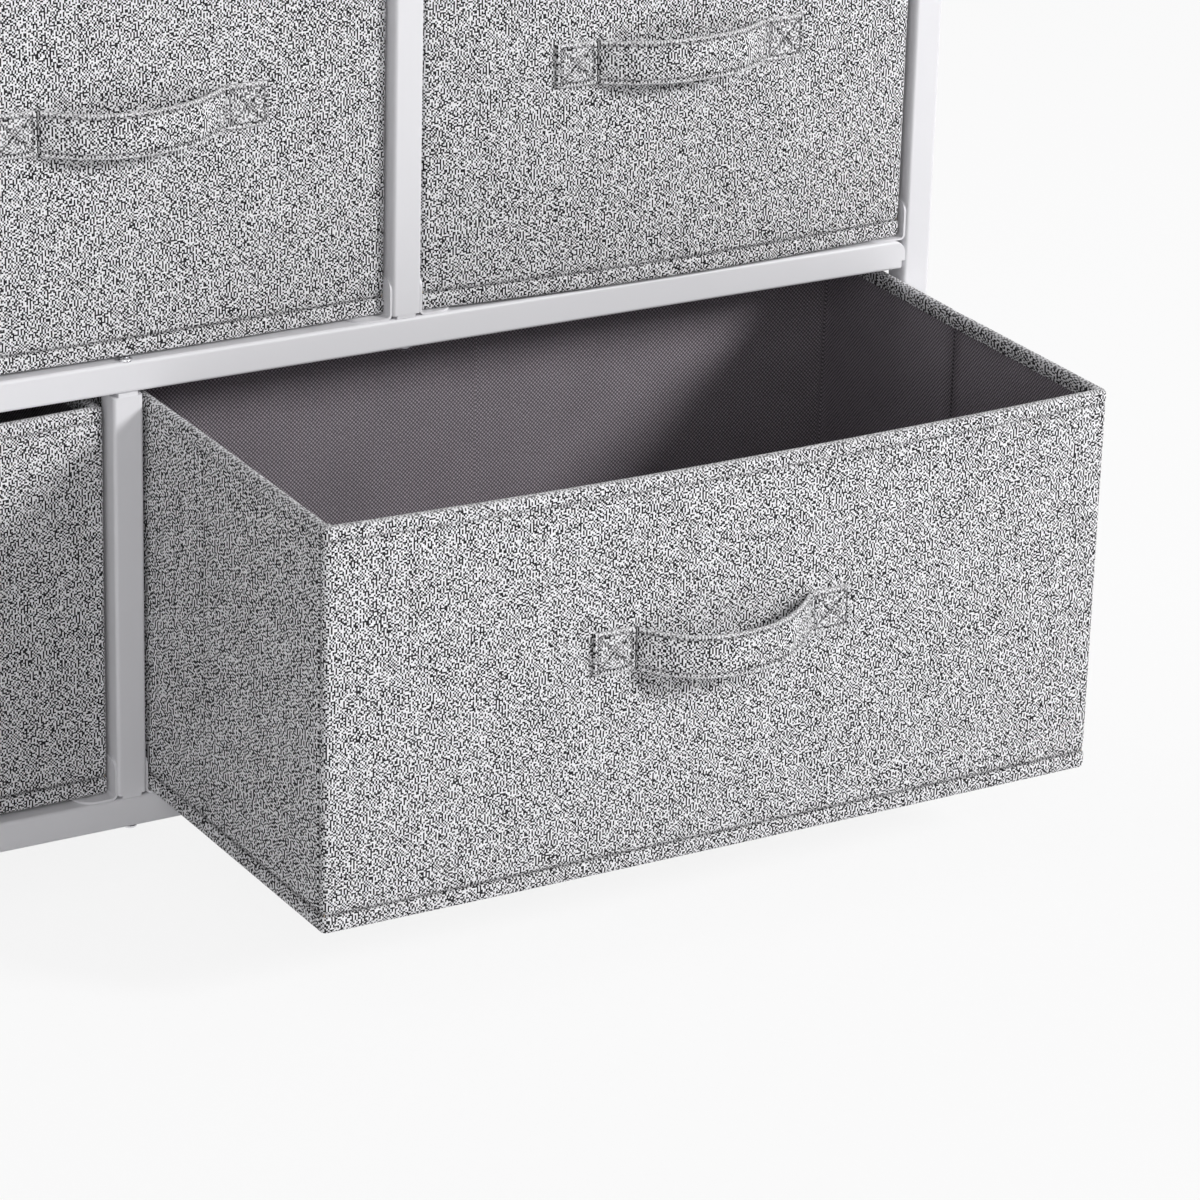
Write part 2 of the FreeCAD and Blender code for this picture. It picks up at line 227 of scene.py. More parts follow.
def makeLamps():
    aim = (cadLow + cadHigh) / 2
    for name, (place, size, power) in studio["lamps"].items():
        data = bpy.data.lights.new(name, "AREA")
        data.shape = "DISK"
        data.size = size
        data.energy = power
        lamp = bpy.data.objects.new(name, data)
        lamp.location = place
        lamp.rotation_euler = (aim - Vector(place)).to_track_quat("-Z", "Y").to_euler()
        bpy.context.scene.collection.objects.link(lamp)


makeWorld()
makeFloor()
makeLamps()
bpy.context.scene.view_settings.view_transform = "Standard"
print("studio ready")

# shader groups: the weave, the lining's emboss and the slow change of tone

weaveForm = {                   # lengths are counted in crossings of the weave
    "strayScale": 0.35,         # how quickly the rows stray, and how far
    "stray": (0.3, 0.3, 0),
    "frequency": 2.0,           # waves of pale and dark to each 1 / runScale metres
    "upright": 0.2,             # how strictly the runs stand upright, from 0 to 1
    "squeeze": (1, 1.3, 1),     # of the runs, upwards
    "paleFrom": (0.488, 0.502),     # the wave's values where dark turns into pale
    "yarnEdge": (0.3, 0.5),     # where a yarn rounds off, from the middle of its crossing
}


def newGroup(name, values, results):
    # every group takes a vector and these values
    group = bpy.data.node_groups.new(name, "ShaderNodeTree")
    group.interface.new_socket("Vector", in_out="INPUT", socket_type="NodeSocketVector")
    for direction, labels in (("INPUT", values), ("OUTPUT", results)):
        for label in labels:
            group.interface.new_socket(label, in_out=direction, socket_type="NodeSocketFloat")
    return group, group.nodes.new("NodeGroupInput"), group.nodes.new("NodeGroupOutput")


def heatherGroup():
    # a plain weave of pale and near-black yarns that come up in short winding runs, mostly
    # upright: each crossing of the weave takes its tone whole
    group, given, result = newGroup(
        "heatherWeave", ["Pitch Across", "Pitch Up", "Run Scale", "Pale Low"], ["Yarn", "Height"])
    pitch = group.nodes.new("ShaderNodeCombineXYZ")
    group.links.new(given.outputs["Pitch Across"], pitch.inputs["X"])
    group.links.new(given.outputs["Pitch Up"], pitch.inputs["Y"])
    pitch.inputs["Z"].default_value = 1.0
    counted = vectorMath(group, "DIVIDE", given.outputs["Vector"], pitch.outputs[0])
    wander = group.nodes.new("ShaderNodeTexNoise")
    wander.inputs["Scale"].default_value = weaveForm["strayScale"]
    wander.inputs["Detail"].default_value = 0.0
    group.links.new(counted, wander.inputs["Vector"])
    shifted = vectorMath(group, "MULTIPLY_ADD", wander.outputs["Color"], weaveForm["stray"], counted)
    crossing = vectorMath(group, "FLOOR", shifted)
    runs = group.nodes.new("ShaderNodeTexGabor")
    runs.gabor_type = "2D"
    runs.inputs["Frequency"].default_value = weaveForm["frequency"]
    runs.inputs["Anisotropy"].default_value = weaveForm["upright"]
    runs.inputs["Orientation"].default_value = 0.0
    group.links.new(given.outputs["Run Scale"], runs.inputs["Scale"])
    spacing = vectorMath(group, "MULTIPLY", pitch.outputs[0], weaveForm["squeeze"])
    group.links.new(vectorMath(group, "MULTIPLY", crossing, spacing), runs.inputs["Vector"])
    pale = remap(group, runs.outputs["Value"], weaveForm["paleFrom"], (0.0, 1.0), smooth=True)
    chance = group.nodes.new("ShaderNodeTexWhiteNoise")
    chance.noise_dimensions = "2D"
    group.links.new(crossing, chance.inputs["Vector"])
    tone = mixValues(group, chance.outputs["Value"], given.outputs["Pale Low"], 1.0)
    spot = group.nodes.new("ShaderNodeSeparateXYZ")
    group.links.new(vectorMath(group, "FRACTION", shifted), spot.inputs[0])
    crown = []
    for axis in ("X", "Y"):
        fromMiddle = calculate(group, "ABSOLUTE", calculate(group, "SUBTRACT", spot.outputs[axis], 0.5))
        crown.append(remap(group, fromMiddle, weaveForm["yarnEdge"], (1.0, 0.0), smooth=True))
    group.links.new(calculate(group, "MULTIPLY", pale, tone), result.inputs["Yarn"])
    group.links.new(calculate(group, "MULTIPLY", *crown), result.inputs["Height"])
    return group


def crosshatchGroup():
    # fine crossed lines, pressed into a non-woven cloth on the slant
    group, given, result = newGroup("crosshatch", ["Pitch"], ["Raised"])
    spot = group.nodes.new("ShaderNodeSeparateXYZ")
    group.links.new(given.outputs["Vector"], spot.inputs[0])
    turns = calculate(group, "DIVIDE", math.pi, given.outputs["Pitch"])
    raised = []
    for operation in ("ADD", "SUBTRACT"):
        slant = calculate(group, operation, spot.outputs["X"], spot.outputs["Y"])
        wave = calculate(group, "SINE", calculate(group, "MULTIPLY", slant, turns))
        raised.append(calculate(group, "ABSOLUTE", wave))
    group.links.new(calculate(group, "MULTIPLY", *raised), result.inputs["Raised"])
    return group


def driftGroup():
    # slow uneven tone, as on anything coated, dyed or pressed
    group, given, result = newGroup("toneDrift", ["Scale", "Low", "High"], ["Tone"])
    cloud = noiseAt(group, given.outputs["Vector"], given.outputs["Scale"], detail=3.0)
    span = calculate(group, "SUBTRACT", given.outputs["High"], given.outputs["Low"])
    tone = calculate(group, "ADD", calculate(group, "MULTIPLY", cloud, span), given.outputs["Low"])
    group.links.new(tone, result.inputs["Tone"])
    return group


heather = heatherGroup()
crosshatch = crosshatchGroup()
drift = driftGroup()

# materials: in each look, drift is a scale and the lowest and highest tone, and bump is a
# strength and a height in metres


def useGroup(tree, group, vector, **values):
    node = tree.nodes.new("ShaderNodeGroup")
    node.node_tree = group
    tree.links.new(vector, node.inputs["Vector"])
    for label, value in values.items():
        node.inputs[label.replace("_", " ")].default_value = value
    return node


def driftTone(tree, vector, change):
    scale, low, high = change
    return useGroup(tree, drift, vector, Scale=scale, Low=low, High=high).outputs["Tone"]


def newMaterial(name, look):
    material = bpy.data.materials.new(name)
    material.use_nodes = True
    tree = material.node_tree
    shader = tree.nodes["Principled BSDF"]
    shader.inputs["Roughness"].default_value = look["roughness"]
    shader.inputs["Specular IOR Level"].default_value = look.get("specular", 0.5)
    coords = tree.nodes.new("ShaderNodeTexCoord")
    return material, tree, shader, coords


def addBump(tree, shader, height, size):
    bump = tree.nodes.new("ShaderNodeBump")
    for label, value in zip(("Strength", "Distance"), size):
        bump.inputs[label].default_value = value
    tree.links.new(height, bump.inputs["Height"])
    tree.links.new(bump.outputs[0], shader.inputs["Normal"])


def paint(tree, shader, colour, tone):
    # a colour made lighter and darker by a value
    tint = tree.nodes.new("ShaderNodeVectorMath")
    tint.operation = "SCALE"
    feed(tree, tint.inputs[0], colour)
    tree.links.new(tone, tint.inputs["Scale"])
    tree.links.new(tint.outputs[0], shader.inputs["Base Color"])


def seamAndPaintedLightMarks(tree):
    # the mesh's mark: above 0 it darkens the cloth on a stitch line and as painted shade in a crease,
    # a seam's groove or at a cut end; below 0 it makes the cloth that much paler, as painted highlight
    # along a turned edge and over the rim, and on the strap's patches
    seamAndPaintedLight = tree.nodes.new("ShaderNodeAttribute")
    seamAndPaintedLight.attribute_name = "seamAndPaintedLight"
    return seamAndPaintedLight.outputs["Fac"]


clothLook = {
    "light": (0.905, 0.90, 0.92, 1),
    "dark": (0.012, 0.011, 0.013, 1),
    "pitchAcross": 0.00088,     # metres from yarn to yarn
    "pitchUp": 0.00088,
    "runScale": 300.0,          # larger for shorter runs of one tone
    "paleLow": 0.85,            # tone of the least pale of the pale yarns
    "seamShade": 0.75,
    "drift": (45.0, 0.93, 1.07),
    "bump": (0.25, 0.0002),
    "roughness": 0.92,
    "specular": 0.25,
    "sheen": 0.05,
}


def greyCloth():
    material, tree, shader, coords = newMaterial("heatherGreyCloth", clothLook)
    weave = useGroup(tree, heather, coords.outputs["UV"], Pitch_Across=clothLook["pitchAcross"],
                     Pitch_Up=clothLook["pitchUp"], Run_Scale=clothLook["runScale"],
                     Pale_Low=clothLook["paleLow"])
    tone = driftTone(tree, coords.outputs["UV"], clothLook["drift"])
    # painted shade on stitch lines, creases and seam grooves, and painted highlight on turned edges and
    # the rim's top, from the mesh's mark
    seamAndPaintedLight = seamAndPaintedLightMarks(tree)
    shade = remap(tree, seamAndPaintedLight, (0, 1), (1, 1 - clothLook["seamShade"]))
    paleAndPaintedHighlight = calculate(tree, "MULTIPLY", seamAndPaintedLight, -1.0)
    yarn = calculate(tree, "MAXIMUM", weave.outputs["Yarn"], paleAndPaintedHighlight)
    colour = mixColours(tree, yarn, clothLook["dark"], clothLook["light"])
    paint(tree, shader, colour, calculate(tree, "MULTIPLY", tone, shade))
    addBump(tree, shader, weave.outputs["Height"], clothLook["bump"])
    shader.inputs["Sheen Weight"].default_value = clothLook["sheen"]
    return material


liningLook = {
    "low": (0.055, 0.049, 0.055, 1),
    "high": (0.490, 0.443, 0.490, 1),
    "pitch": 0.0023,            # width of the emboss's diamonds
    "creaseShade": 0.9,
    "drift": (30.0, 0.86, 1.1),
    "fibre": (900.0, 0.3, 1.7),     # a finer drift
    "bump": (0.5, 0.0003),
    "roughness": 0.85,
    "specular": 0.2,
}


def charcoalCloth():
    material, tree, shader, coords = newMaterial("charcoalLining", liningLook)
    press = useGroup(tree, crosshatch, coords.outputs["UV"], Pitch=liningLook["pitch"])
    colour = mixColours(tree, press.outputs["Raised"], liningLook["low"], liningLook["high"])
    # painted shade in the lining's creases
    shade = remap(tree, seamAndPaintedLightMarks(tree), (0, 1), (1, 1 - liningLook["creaseShade"]))
    uneven = calculate(tree, "MULTIPLY", driftTone(tree, coords.outputs["UV"], liningLook["drift"]),
                       driftTone(tree, coords.outputs["UV"], liningLook["fibre"]))
    paint(tree, shader, colour, calculate(tree, "MULTIPLY", uneven, shade))
    addBump(tree, shader, press.outputs["Raised"], liningLook["bump"])
    return material


steelLook = {
    "colour": (0.800, 0.795, 0.820),
    "drift": (9.0, 0.985, 1.015),
    "grain": 900.0,             # the coat's orange peel
    "bump": (0.12, 0.0002),
    "roughness": 0.42,
    "specular": 0.4,
}

plasticLook = {
    "colour": (0.70, 0.70, 0.71),
    "drift": (60.0, 0.95, 1.03),
    "grain": 1800.0,
    "bump": (0.2, 0.0002),
    "roughness": 0.55,
}


def plainSurface(name, look):
    # powder coat and moulded plastic: one colour over a fine grain
    material, tree, shader, coords = newMaterial(name, look)
    paint(tree, shader, look["colour"], driftTone(tree, coords.outputs["Object"], look["drift"]))
    addBump(tree, shader, noiseAt(tree, coords.outputs["Object"], look["grain"]), look["bump"])
    return material


zincLook = {
    "colour": (0.72, 0.72, 0.74),
    "drift": (160.0, 0.8, 1.1),
    "scuffs": 700.0,
    "scuffRoughness": (0.18, 0.34),
    "roughness": 0.24,
}


def zincSteel():
    material, tree, shader, coords = newMaterial("brightZinc", zincLook)
    paint(tree, shader, zincLook["colour"],
          driftTone(tree, coords.outputs["Object"], zincLook["drift"]))
    shader.inputs["Metallic"].default_value = 1.0
    scuffs = noiseAt(tree, coords.outputs["Object"], zincLook["scuffs"])
    tree.links.new(remap(tree, scuffs, (0, 1), zincLook["scuffRoughness"]), shader.inputs["Roughness"])
    return material


woodLook = {
    "pale": (0.60, 0.47, 0.33, 1),
    "deep": (0.36, 0.255, 0.160, 1),
    "grainStretch": (1.6, 26.0, 26.0),
    "figure": 1.1,              # scale of the broad figure, and how many rings it winds
    "rings": 34.0,
    "pores": 12.0,
    "poreSpread": (0.3, 0.7),
    "ringShare": 0.45,
    "poreShare": 0.55,
    "bump": (0.15, 0.0003),
    "roughness": 0.68,
    "specular": 0.2,
}


def oakLaminate():
    material, tree, shader, coords = newMaterial("oakLaminate", woodLook)
    stretch = tree.nodes.new("ShaderNodeMapping")
    stretch.inputs["Scale"].default_value = woodLook["grainStretch"]
    tree.links.new(coords.outputs["Object"], stretch.inputs["Vector"])
    flow = stretch.outputs["Vector"]
    broad = noiseAt(tree, flow, woodLook["figure"], detail=3.0)
    rings = calculate(tree, "SINE", calculate(tree, "MULTIPLY", broad, woodLook["rings"]))
    pores = noiseAt(tree, flow, woodLook["pores"], detail=4.0, roughness=0.65)
    grain = calculate(tree, "ADD", remap(tree, rings, (-1, 1), (0.0, woodLook["ringShare"])),
                      remap(tree, pores, woodLook["poreSpread"], (0.0, woodLook["poreShare"])))
    colour = mixColours(tree, grain, woodLook["pale"], woodLook["deep"])
    tree.links.new(colour, shader.inputs["Base Color"])
    addBump(tree, shader, pores, woodLook["bump"])
    return material


boardLook = {
    "dark": (0.42, 0.32, 0.22, 1),
    "light": (0.55, 0.45, 0.33, 1),
    "flecks": 420.0,
    "fleckSpread": (0.35, 0.65),
    "drift": (20.0, 0.9, 1.06),
    "bump": (0.3, 0.0003),
    "roughness": 0.9,
}


def rawBoard():
    material, tree, shader, coords = newMaterial("rawFibreboard", boardLook)
    flecks = noiseAt(tree, coords.outputs["Object"], boardLook["flecks"], detail=4.0, roughness=0.7)
    colour = mixColours(tree, remap(tree, flecks, boardLook["fleckSpread"], (0, 1)),
                        boardLook["dark"], boardLook["light"])
    paint(tree, shader, colour, driftTone(tree, coords.outputs["Object"], boardLook["drift"]))
    addBump(tree, shader, flecks, boardLook["bump"])
    return material


threadLook = {
    "dark": (0.08, 0.076, 0.083, 1),
    "light": (0.24, 0.232, 0.246, 1),
    "twist": 2500.0,
    "roughness": 0.7,
}


def sewingThread():
    material, tree, shader, coords = newMaterial("greyThread", threadLook)
    twist = noiseAt(tree, coords.outputs["Object"], threadLook["twist"], detail=1.0)
    colour = mixColours(tree, twist, threadLook["dark"], threadLook["light"])
    tree.links.new(colour, shader.inputs["Base Color"])
    return material


finishes = {
    "grey_fabric": greyCloth(),
    "charcoal_lining": charcoalCloth(),
    "white_steel": plainSurface("whitePowderCoat", steelLook),
    "zinc_steel": zincSteel(),
    "foot_plastic": plainSurface("footPlastic", plasticLook),
    "top_wood": oakLaminate(),
    "wall_board": rawBoard(),
    "thread": sewingThread(),
}
finishes["lined_board"] = finishes["charcoal_lining"]

for part in frame["record"]["subparts"]:
    slots = nodes[part["node"]].data.materials
    slots.clear()
    slots.append(finishes[part["material_slot"]])
print("materials ready")

# drawers: how the cloth and the boards give, in metres

drawerGive = {
    "upper_left": {"rimSag": 0.0015, "rearSag": 0.001, "rearLift": 0.0, "aside": 0.0,
                   "bulge": 0.0015, "kickOut": 0.003, "sideDraw": 0.0008},
    "upper_middle": {"rimSag": 0.0015, "rearSag": 0.001, "rearLift": 0.0, "aside": 0.0016,
                     "bulge": 0.0015, "kickOut": 0.0035, "sideDraw": 0.0008},
    "upper_right": {"rimSag": 0.0015, "rearSag": 0.001, "rearLift": 0.0, "aside": 0.0,
                    "bulge": 0.002, "kickOut": 0.0082, "sideDraw": 0.0008},
    "lower_left": {"rimSag": 0.0028, "rearSag": 0.0015, "rearLift": 0.0, "aside": 0.0,
                   "bulge": 0.002, "kickOut": 0.001, "sideDraw": 0.001},
    "lower_right": {"rimSag": 0.0034, "rearSag": 0.001, "rearLift": 0.0045, "aside": 0.0,
                    "bulge": 0.002, "kickOut": 0.001, "sideDraw": 0.0012},
}

ripple = {                      # slow waves of the fronts and rears, mostly near the rim
    "height": 0.0007,
    "across": 9,                # scales of the noise
    "up": 11,
    "perDrawer": 5,             # so that no two drawers ripple alike
}

clothSizes = {
    "cell": 0.009,              # mesh size on the walls
    "fine": 0.0012,             # mesh size beside a seam or a fold
    "closeRows": 3,             # fine rows beside a corner, and which of them is its seam
    "seamRow": 2,
    "cornerTurns": (22.5, 45, 67.5),
    "foldFade": 0.7,            # how much of a fold's crease is lost with each fine row
    "weld": 0.00002,            # mesh corners nearer than this are joined
    "floorRings": (0.0, 0.2, 0.45, 0.7, 0.9),   # of the floor panel, as shares of the way out
    "board": 0.0025,
    "foldGap": 0.002,           # between the halves of a side board
    "hemTurn": 0.007,           # cover turned down inside the rim
    "hemSeam": 0.0078,          # hem's stitch line below the rim
    "weltHeight": 0.0093,       # bottom seam above the underside
    "sideWeave": 0.62,          # the side panels' cloth is that much coarser across
    "seamDip": 0.0009,
    "foldNotch": 0.0009,        # the rim's dip over the fold
}

coverBuild = {
    "sheet": 0.0012,
    "radius": 0.003,            # plan radius of the upright corners
    "material": "grey_fabric",
    "weaveAlong": "woven",      # counts the side panels by sideWeave
    "cornerPaintedShade": 0.8,          # painted shade on the corner seams and the folds
    "foldPaintedShade": 0.35,
    "foldDip": 0.0005,
    "rumple": 0.0,
}

liningBuild = {
    "sheet": 0.0008,
    "radius": 0.002,
    "material": "charcoal_lining",
    "weaveAlong": "length",
    "cornerPaintedShade": 0.0,
    # painted shade in the crease over the gap between the boards
    "foldPaintedShade": 0.9,
    "foldDip": -0.0013,         # it sinks into the gap between the boards
    "rumple": 0.0009,           # it stands off its boards unevenly
}

rumpleForm = {
    "around": 24,               # scales of the noise
    "up": 15,
    "perDrawer": 9,
    "aboveFloor": 0.009,        # none below this height, and all of it this much further up
    "floorFade": 0.03,
    "belowRim": 0.02,           # the same, downwards from the rim
    "rimFade": 0.02,
}

rimWidth = 2 * coverBuild["sheet"] + clothSizes["board"] + liningBuild["sheet"]


def readDrawer(name):
    low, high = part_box(name + "_cover")
    return {"name": name, "low": low, "high": high, "middle": (low + high) / 2,
            "size": high - low, "give": drawerGive[name], "body": name + "_drawer"}


def givePoint(drawer, point):
    # where a point of the stiff drawer lies once its cloth and boards have given
    give, size = drawer["give"], drawer["size"]
    across = 2 * (point.x - drawer["middle"].x) / size.x
    back = 2 * (point.y - drawer["middle"].y) / size.y
    up = (point.z - drawer["low"].z) / size.z
    middle = max(0.0, 1 - across ** 2)
    front = (1 - back) / 2
    moved = point.copy()
    sag = give["rimSag"] * front + give["rearSag"] * (1 - front)
    moved.z += give["rearLift"] * (1 - front) * up - sag * middle * max(0.0, up) ** 2
    moved.y -= front * middle * (give["kickOut"] * (1 - up) ** 1.5 + give["bulge"] * 4 * up * (1 - up))
    tent = max(0.0, 1 - abs(back))
    moved.x += give["aside"] - give["sideDraw"] * across ** 3 * tent * (0.25 + 0.75 * up)
    spot = Vector((point.x * ripple["across"] + drawer["middle"].x * ripple["perDrawer"],
                   point.z * ripple["up"], point.y * ripple["across"]))
    moved.y += ripple["height"] * noise.noise(spot) * middle * up * abs(back) ** 3
    return moved


def wallStops(width, depth, radius):
    # stops round a rounded rectangle from the middle of the rear, anticlockwise from above:
    # base point, outward angle, lengths so far of the wall and of its weave, and the marks of a
    # corner seam or a fold
    halfX, halfY = width / 2 - radius, depth / 2 - radius
    legs = [((0, halfY), (-halfX, halfY), 90), ((-halfX, halfY), (-halfX, -halfY), 180),
            ((-halfX, -halfY), (halfX, -halfY), 270), ((halfX, -halfY), (halfX, halfY), 360),
            ((halfX, halfY), (0, halfY), 450)]
    fine, closeRows = clothSizes["fine"], range(1, clothSizes["closeRows"] + 1)
    seamAt = clothSizes["seamRow"] * fine
    stops, length, woven = [], 0.0, 0.0
    for start, end, angle in legs:
        start, end = Vector(start), Vector(end)
        run = (end - start).length
        side = angle in (180, 360)
        stretch = clothSizes["sideWeave"] if side else 1.0
        count = 2 * max(2, round(run / clothSizes["cell"] / 2))
        places = [run * i / count for i in range(count + 1)]
        places += [place for k in closeRows for place in (k * fine, run - k * fine)]
        if side:
            places += [run / 2 - fine, run / 2 + fine]
        for place in sorted(places):
            onSeam = side and abs(min(place, run - place) - seamAt) < 1e-6
            fade = clothSizes["foldFade"] * abs(place - run / 2) / fine
            stops.append({"base": start.lerp(end, place / run), "angle": angle,
                          "length": length + place, "woven": woven + place * stretch,
                          "corner": 1.0 if onSeam else 0.0,
                          "fold": max(0.0, 1 - fade) if side else 0.0})
        length += run
        woven += run * stretch
        if angle < 450:         # no corner follows the last leg
            for turn in clothSizes["cornerTurns"]:
                arc = radius * math.radians(turn)
                stops.append({"base": end, "angle": angle + turn, "corner": 0.0, "fold": 0.0,
                              "length": length + arc, "woven": woven + arc})
            length += radius * math.pi / 2
            woven += radius * math.pi / 2
    return stops


def wallPoint(drawer, length, offset, height):
    # a point on the cover's wall at a length round it, moved outwards by offset
    stops = drawer["stops"]
    position = length % stops[-1]["length"]
    index = next(i for i in range(1, len(stops)) if stops[i]["length"] >= position)
    before, after = stops[index - 1], stops[index]
    span = after["length"] - before["length"]
    share = (position - before["length"]) / span if span else 0.0
    base = before["base"].lerp(after["base"], share)
    angle = math.radians(before["angle"] + (after["angle"] - before["angle"]) * share)
    reach = coverBuild["radius"] + offset
    return givePoint(drawer, Vector((drawer["middle"].x + base.x + math.cos(angle) * reach,
                                     drawer["middle"].y + base.y + math.sin(angle) * reach,
                                     drawer["low"].z + height)))


def meshObject(name, bm, material, smooth=True):
    mesh = bpy.data.meshes.new(name)
    bm.to_mesh(mesh)
    bm.free()
    mesh.materials.append(finishes[material])
    if smooth:
        mesh.polygons.foreach_set("use_smooth", [True] * len(mesh.polygons))
    piece = bpy.data.objects.new(name, mesh)
    bpy.context.scene.collection.objects.link(piece)
    return piece


def finishPiece(piece, drawer, slotName, *replaced):
    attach(piece, drawer["body"])
    if replaced:
        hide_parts(*replaced)


def addSheet(bm, columns, rows, place, cloth):
    # a grid: place gives the point and the mark of a grid corner (a stitch line, painted shade or painted
    # highlight), and cloth gives its place on the uncut cloth, as seen from the face whose lowest row is
    # named
    uv = bm.loops.layers.uv.get("cloth") or bm.loops.layers.uv.new("cloth")
    seamAndPaintedLight = bm.verts.layers.float.get("seamAndPaintedLight") or bm.verts.layers.float.new("seamAndPaintedLight")
    made = bmesh.ops.create_grid(bm, x_segments=columns, y_segments=rows, size=0.5)["verts"]
    corner = {vert: (round((vert.co.x + 0.5) * columns), round((vert.co.y + 0.5) * rows))
              for vert in made}
    for face in {face for vert in made for face in vert.link_faces}:
        lowest = min(corner[vert][1] for vert in face.verts)
        for loop in face.loops:
            loop[uv].uv = cloth(*corner[loop.vert], lowest)
    for vert, (i, j) in corner.items():
        vert.co, vert[seamAndPaintedLight] = place(i, j)


def wrapSheet(name, drawer, stops, profile, build):
    # a sheet that closes under the floor, climbs the walls and follows the profile
    tall = drawer["size"].z
    rise = [0.0]
    for before, after in zip(profile, profile[1:]):
        rise.append(rise[-1] + math.hypot(after["offset"] - before["offset"],
                                          after["height"] - before["height"]))

    def rumpleAt(stop, height):
        inner = max(0.0, min(1.0, (height - rumpleForm["aboveFloor"]) / rumpleForm["floorFade"],
                             (tall - height - rumpleForm["belowRim"]) / rumpleForm["rimFade"]))
        spot = Vector((*(stop["base"] * rumpleForm["around"]),
                       height * rumpleForm["up"] + drawer["middle"].x * rumpleForm["perDrawer"]))
        return build["rumple"] * inner * (0.5 + noise.noise(spot))

    def planPoint(i, j):
        stop, step = stops[i], profile[j]
        angle = math.radians(stop["angle"])
        dip = clothSizes["seamDip"] * stop["corner"] + build["foldDip"] * stop["fold"]
        sunk = step["wall"] * dip
        if build["rumple"] and step["share"] == 1:
            sunk += rumpleAt(stop, step["height"])
        reach = build["radius"] + step["offset"] - sunk
        return (stop["base"] + Vector((math.cos(angle), math.sin(angle))) * reach) * step["share"]

    def place(i, j):
        stop, step = stops[i], profile[j]
        mark = step["seamAndPaintedLight"]
        if mark >= 0:
            # painted shade of the corner seams and folds on the wall
            upright = max(build["cornerPaintedShade"] * stop["corner"], build["foldPaintedShade"] * stop["fold"])
            mark = max(mark, step["wall"] * upright)
        point = drawer["middle"].xy + planPoint(i, j)
        height = step["height"] - step["notch"] * clothSizes["foldNotch"] * stop["fold"]
        return givePoint(drawer, Vector((*point, drawer["low"].z + height))), mark

    def cloth(i, j, lowest):
        if profile[lowest]["share"] < 1:
            return planPoint(i, j)
        return stops[i][build["weaveAlong"]], rise[j]

    bm = bmesh.new()
    addSheet(bm, len(stops) - 1, len(profile) - 1, place, cloth)
    bmesh.ops.remove_doubles(bm, verts=bm.verts, dist=clothSizes["weld"])
    piece = meshObject(name, bm, build["material"])
    solid = piece.modifiers.new("thickness", "SOLIDIFY")
    solid.thickness = build["sheet"]
    solid.offset = -1.0
    return piece


coverShape = {                  # steps: out from the wall, up, painted shade of the seam's groove, share of the wall's dips
    "underside": ((-0.0016, 0.0), (-0.0004, 0.0004), (0.0002, 0.0014), (0.0005, 0.0035)),
    "welt": ((0.0006, -0.0024), (0.0004, -0.0009), (-0.0002, -0.0003, 0.2), (-0.0009, 0.0002, 0.85),
             (-0.0008, 0.0010, 0.4), (-0.0003, 0.0024, 0.05, 1.0), (-0.0001, 0.0045, 0.0, 1.0)),
    "hem": ((-0.0001, -0.0012, 0.05, 1.0), (-0.0005, 0.0, 0.4, 0.8), (-0.0001, 0.0012, 0.05, 0.8),
            (0.0001, 0.003, 0.0, 0.5)),
    "hemInside": ((0.0003, 0.0018, 0.4), (0.0, 0.0008), (0.0, 0.0)),
    "plainFrom": 0.008,         # the plain wall starts above the welt and ends below the hem seam
    "plainTo": 0.004,
    "crown": 0.0024,            # height of the rim's roll
    "crownSteps": 8,
    "crownEnd": 0.0045,         # the roll is straight again that far down inside
    "crownEndNotch": 0.6,
    "rimPaintedHighlight": -0.3,            # painted highlight over the top of the rim
}


def profileStep(offset, height, seamAndPaintedLight=0.0, wall=0.0, share=1.0, notch=0.0):
    return {"offset": offset, "height": height, "seamAndPaintedLight": seamAndPaintedLight, "wall": wall, "share": share,
            "notch": notch}


def profileSteps(steps, offset, height):
    return [profileStep(offset + out, height + up, *marks) for out, up, *marks in steps]


def floorSteps(height, edge):
    return [profileStep(edge, height, share=share) for share in clothSizes["floorRings"]]


def plainWall(low, high, count):
    return [profileStep(0.0, low + (high - low) * i / count, wall=1.0) for i in range(count + 1)]


def coverProfile(tall):
    welt, stitch = clothSizes["weltHeight"], tall - clothSizes["hemSeam"]
    profile = floorSteps(0.0, coverShape["underside"][0][0])
    profile += profileSteps(coverShape["underside"], 0.0, 0.0)
    profile += profileSteps(coverShape["welt"], 0.0, welt)
    low, high = welt + coverShape["plainFrom"], stitch - coverShape["plainTo"]
    profile += plainWall(low, high, round((high - low) / clothSizes["cell"]))
    profile += profileSteps(coverShape["hem"], 0.0, stitch)
    roll, crown = rimWidth / 2, coverShape["crown"]
    for i in range(coverShape["crownSteps"] + 1):
        angle = math.pi * i / coverShape["crownSteps"]
        # painted highlight over the top of the roll
        profile.append(profileStep(-roll + roll * math.cos(angle), tall - crown + crown * math.sin(angle),
                                   coverShape["rimPaintedHighlight"] * math.sin(angle) ** 2, notch=1.0))
    profile.append(profileStep(-rimWidth, tall - coverShape["crownEnd"],
                               notch=coverShape["crownEndNotch"]))
    hemEnd = tall - coverBuild["sheet"] - clothSizes["hemTurn"]
    return profile + profileSteps(coverShape["hemInside"], -rimWidth, hemEnd)


liningShape = {
    "underside": ((-0.002, 0.0), (-0.0005, 0.0005), (0.0, 0.002)),
    "plainFrom": 0.004,
    "underRim": 0.0006,         # its upper end below the cover's turned rim
}


